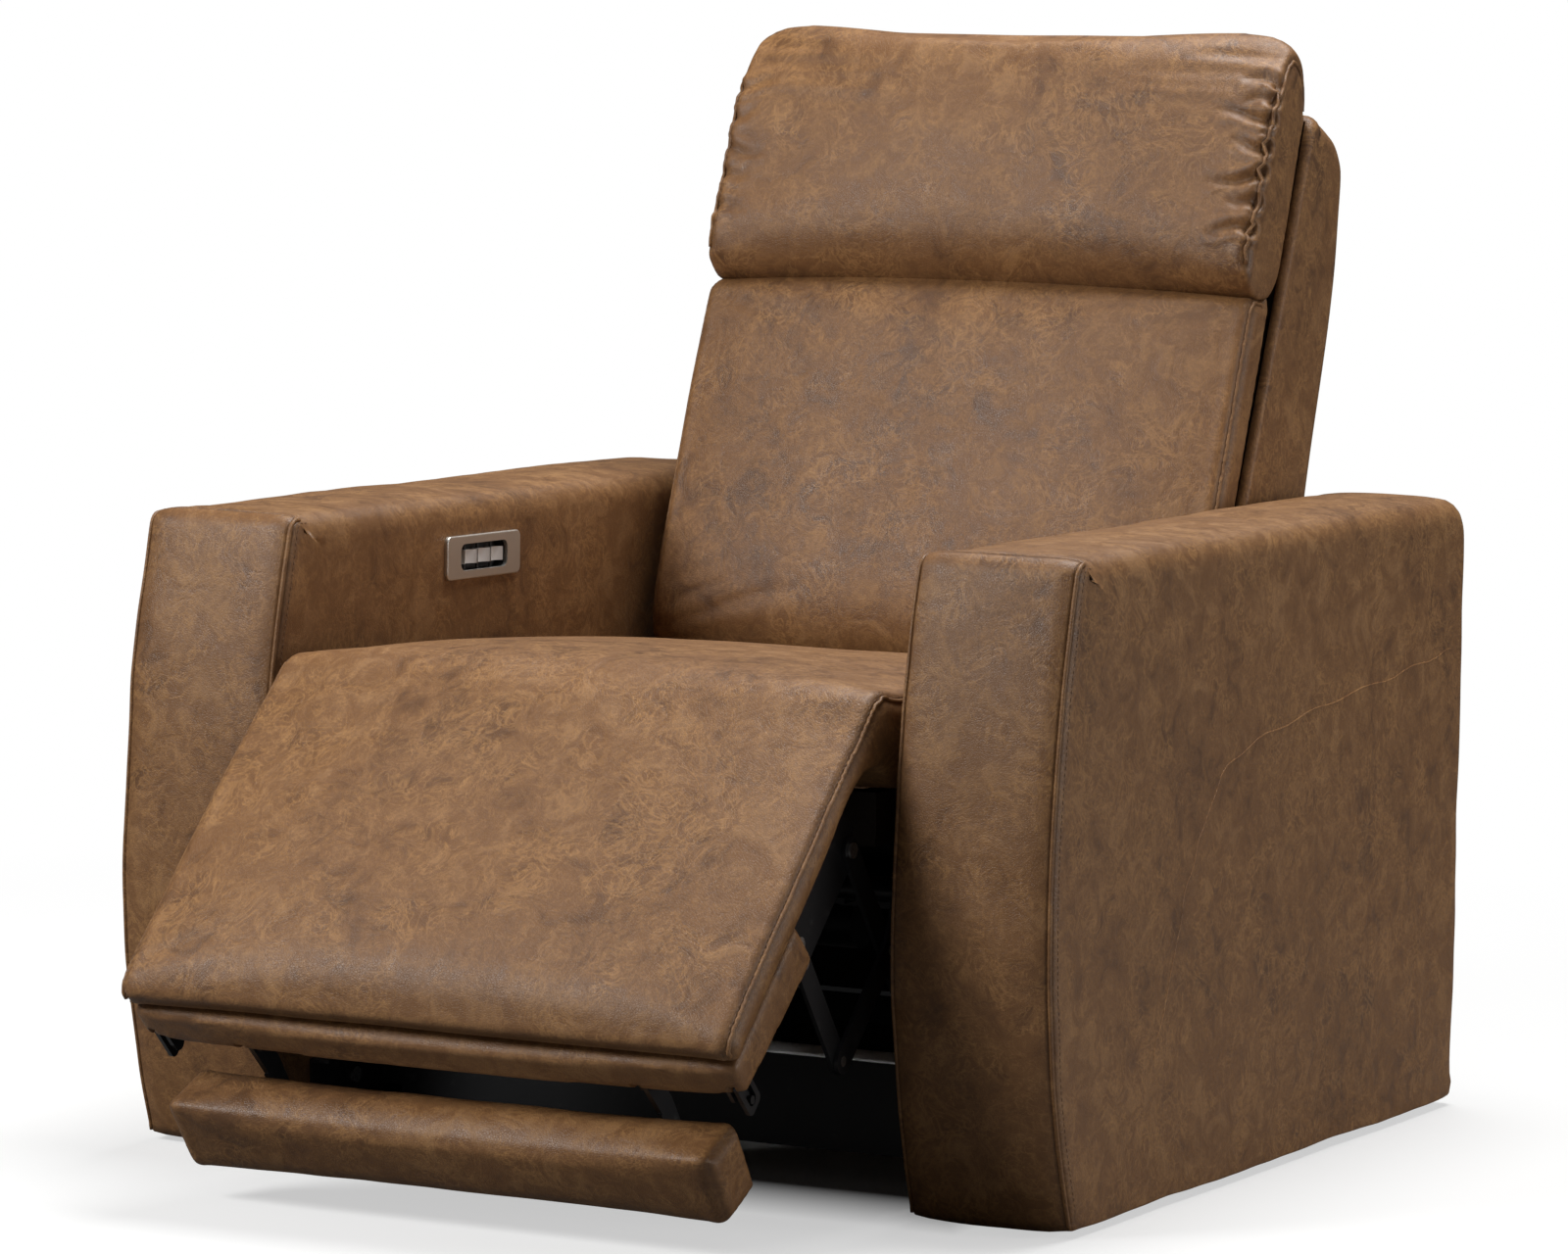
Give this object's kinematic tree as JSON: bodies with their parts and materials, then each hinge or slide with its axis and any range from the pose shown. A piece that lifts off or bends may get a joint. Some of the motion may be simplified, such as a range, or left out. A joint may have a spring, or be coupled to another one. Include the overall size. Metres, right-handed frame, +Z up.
{
  "type": "power reclining chair",
  "caption": "Power recliner in brown leather: wide track arms, reclining back, tilting headrest and a chaise legrest on an open steel linkage, switched from the arm.",
  "frame": {"origin": "on the floor, under the middle of the bounding box at rest (legrest half open, back upright)", "axes": "+Z up, the sitter faces -Y, +X is to the sitter's left"},
  "size_m": [1.002, 1.3565, 1.1125],
  "materials": {
    "brown_leather": "distressed, soft sheen",
    "timber": "raw",
    "black_steel": "satin black",
    "bright_steel": "zinc plated",
    "satin_nickel": "satin",
    "silver_rocker": "silver plated",
    "black_plastic": "matte black",
    "webbing": "woven"
  },
  "bodies": {
    "base": {"left_arm_cover": "brown_leather", "right_arm_cover": "brown_leather", "left_arm_frame": "timber", "right_arm_frame": "timber", "arm_glides": "black_plastic", "base_rails": "black_steel", "cross_tubes": "black_steel", "arm_bolts": "bright_steel", "side_plates": "black_steel", "motor_tubes": "black_steel", "pivot_pins": "bright_steel", "seat_side_rails": "timber", "seat_cross_rails": "timber", "seat_springs": "bright_steel", "seat_cushion": "brown_leather", "switch_plate": "satin_nickel", "switch_insert": "black_plastic", "drive_tracks": "black_steel", "drive_screws": "bright_steel", "legrest_motor": "black_plastic", "back_motor": "black_plastic", "control_box": "black_plastic", "power_inlet": "black_plastic", "rear_panel": "webbing"},
    "legrest": {"legrest_board": "timber", "legrest_pad": "brown_leather", "legrest_brackets": "black_steel", "legrest_stretcher": "black_steel", "legrest_rivets": "bright_steel", "flipper_lugs": "black_steel"},
    "flipper": {"flipper_board": "timber", "flipper_pad": "brown_leather", "flipper_arms": "black_steel", "flipper_shaft": "black_steel"},
    "front_cranks": {"front_cranks": "black_steel", "front_crank_rivets": "bright_steel"},
    "rear_cranks": {"rear_cranks": "black_steel", "rear_crank_rivets": "bright_steel", "drive_tube": "black_steel"},
    "upper_links": {"upper_links": "black_steel"},
    "lower_links": {"lower_links": "black_steel", "nose_rivets": "bright_steel"},
    "flipper_links": {"flipper_links": "black_steel"},
    "legrest_slider": {"legrest_slider": "black_plastic"},
    "back": {"back_frame": "timber", "back_webbing": "webbing", "back_hinges": "black_steel", "back_cushion": "brown_leather", "back_shell": "brown_leather", "back_tube": "black_steel", "headrest_hinges": "black_steel", "headrest_motor": "black_plastic"},
    "back_slider": {"back_slider": "black_plastic"},
    "headrest": {"headrest_pillow": "brown_leather", "headrest_frame": "black_steel"},
    "headrest_rod": {"headrest_rod": "bright_steel"},
    "legrest_rocker": {"legrest_rocker": "silver_rocker"},
    "back_rocker": {"back_rocker": "silver_rocker"},
    "headrest_rocker": {"headrest_rocker": "silver_rocker"}
  },
  "joints": [
    {"name": "legrest_lift", "type": "hinge", "parent": "base", "child": "legrest", "pos_m": [0, -0.337, 0.47], "axis": [-1, 0, 0], "range_deg": [-45, 45]},
    {"name": "flipper_fold", "type": "hinge", "parent": "legrest", "child": "flipper", "pos_m": [0, -0.59368, 0.15958], "axis": [-1, 0, 0], "range_deg": [-81, 81]},
    {"name": "front_crank_turn", "type": "hinge", "parent": "base", "child": "front_cranks", "pos_m": [0, -0.262, 0.37], "axis": [-1, 0, 0], "range_deg": [-45, 45]},
    {"name": "rear_crank_turn", "type": "hinge", "parent": "base", "child": "rear_cranks", "pos_m": [0, -0.202, 0.29], "axis": [-1, 0, 0], "range_deg": [-45, 45]},
    {"name": "upper_link_turn", "type": "hinge", "parent": "front_cranks", "child": "upper_links", "pos_m": [0, -0.31362, 0.2505], "axis": [-1, 0, 0], "range_deg": [-45, 45]},
    {"name": "lower_link_turn", "type": "hinge", "parent": "front_cranks", "child": "lower_links", "pos_m": [0, -0.40554, 0.15857], "axis": [-1, 0, 0], "range_deg": [-45, 45]},
    {"name": "flipper_link_turn", "type": "hinge", "parent": "lower_links", "child": "flipper_links", "pos_m": [0, -0.49822, 0.27625], "axis": [-1, 0, 0], "range_deg": [-45, 45]},
    {"name": "legrest_drive", "type": "slide", "parent": "base", "child": "legrest_slider", "axis": [0, -1, 0], "range_m": [-0.0441, 0.0441]},
    {"name": "back_recline", "type": "hinge", "parent": "base", "child": "back", "pos_m": [0, 0.333, 0.385], "axis": [-1, 0, 0], "range_deg": [0, 35]},
    {"name": "back_drive", "type": "slide", "parent": "base", "child": "back_slider", "axis": [0, -1, 0], "range_m": [0, 0.0471]},
    {"name": "headrest_tilt", "type": "hinge", "parent": "back", "child": "headrest", "pos_m": [0, 0.49821, 0.87399], "axis": [1, 0, 0], "range_deg": [0, 30]},
    {"name": "headrest_drive", "type": "slide", "parent": "back", "child": "headrest_rod", "axis": [0, 0.342, 0.9397], "range_m": [0, 0.0511]},
    {"name": "legrest_rocker_press", "type": "hinge", "parent": "base", "child": "legrest_rocker", "pos_m": [-0.341, -0.001, 0.563], "axis": [0, 0, 1], "range_deg": [-8, 8], "stiffness_Nm_per_rad": 0.05},
    {"name": "back_rocker_press", "type": "hinge", "parent": "base", "child": "back_rocker", "pos_m": [-0.341, 0.025, 0.563], "axis": [0, 0, 1], "range_deg": [-8, 8], "stiffness_Nm_per_rad": 0.05},
    {"name": "headrest_rocker_press", "type": "hinge", "parent": "base", "child": "headrest_rocker", "pos_m": [-0.341, 0.051, 0.563], "axis": [0, 0, 1], "range_deg": [-8, 8], "stiffness_Nm_per_rad": 0.05}
  ],
  "couplings": [
    {"joint": "flipper_fold", "follows": "legrest_lift", "ratio": 1.8},
    {"joint": "front_crank_turn", "follows": "legrest_lift", "ratio": 1},
    {"joint": "rear_crank_turn", "follows": "legrest_lift", "ratio": 1},
    {"joint": "upper_link_turn", "follows": "legrest_lift", "ratio": -1},
    {"joint": "lower_link_turn", "follows": "legrest_lift", "ratio": -1},
    {"joint": "flipper_link_turn", "follows": "legrest_lift", "ratio": 1},
    {"joint": "legrest_drive", "follows": "legrest_lift", "m_per_rad": 0.0555},
    {"joint": "back_drive", "follows": "back_recline", "m_per_rad": 0.076328},
    {"joint": "headrest_drive", "follows": "headrest_tilt", "m_per_rad": 0.09661}
  ]
}
